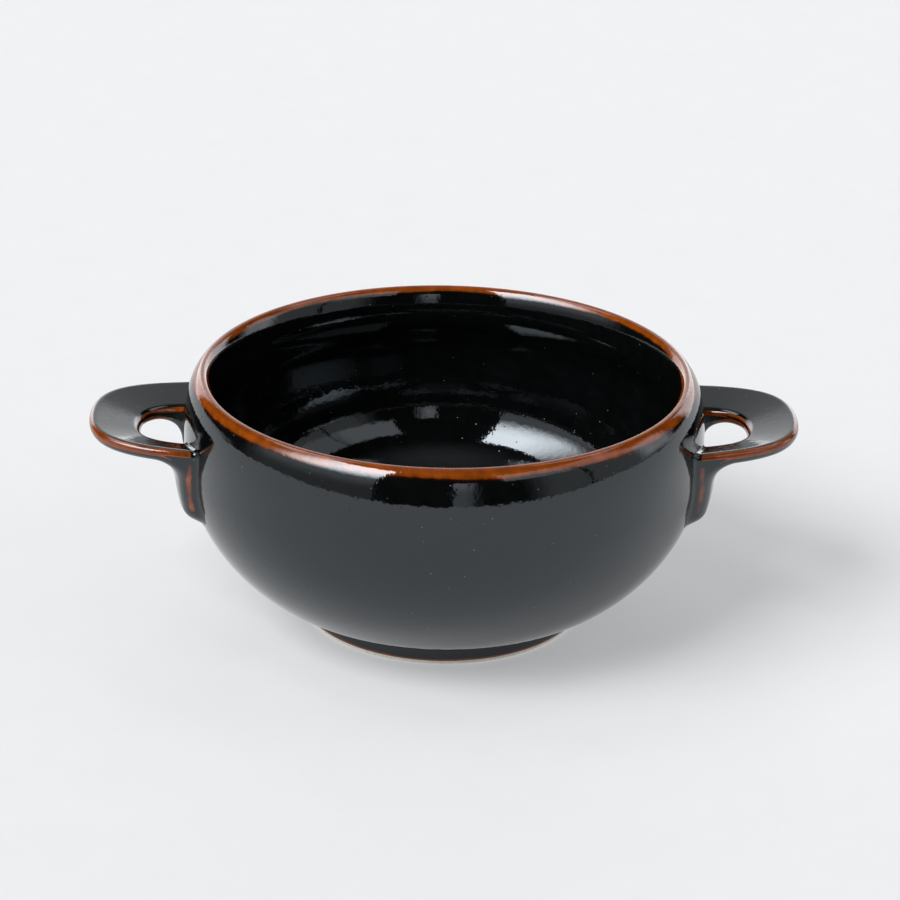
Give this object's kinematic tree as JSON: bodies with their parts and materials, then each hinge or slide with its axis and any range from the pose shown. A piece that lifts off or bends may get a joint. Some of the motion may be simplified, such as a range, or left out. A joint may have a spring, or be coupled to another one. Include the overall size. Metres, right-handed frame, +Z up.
{
  "type": "soup bowl",
  "caption": "Round-bellied ceramic soup bowl on a foot ring, with a lug handle on each side that is bent round a finger hole and turns down the wall in tails.",
  "frame": {"origin": "on the table under the middle of the foot ring", "axes": "+Z up through the middle of the bowl, +X towards the right handle, -Y towards the viewer of the picture"},
  "size_m": [0.1808, 0.1328, 0.0652],
  "materials": {
    "black_glaze": "glossy black iron glaze that breaks to brown on edges",
    "brown_glaze": "the same glaze where it is thin, rust brown",
    "bare_clay": "pale unglazed stoneware, matt"
  },
  "bodies": {
    "root": {"bowl_body": "black_glaze", "foot_ring": "bare_clay", "right_handle": "black_glaze", "right_front_slip_joint": "brown_glaze", "right_rear_slip_joint": "brown_glaze", "left_handle": "black_glaze", "left_front_slip_joint": "brown_glaze", "left_rear_slip_joint": "brown_glaze"}
  },
  "joints": []
}
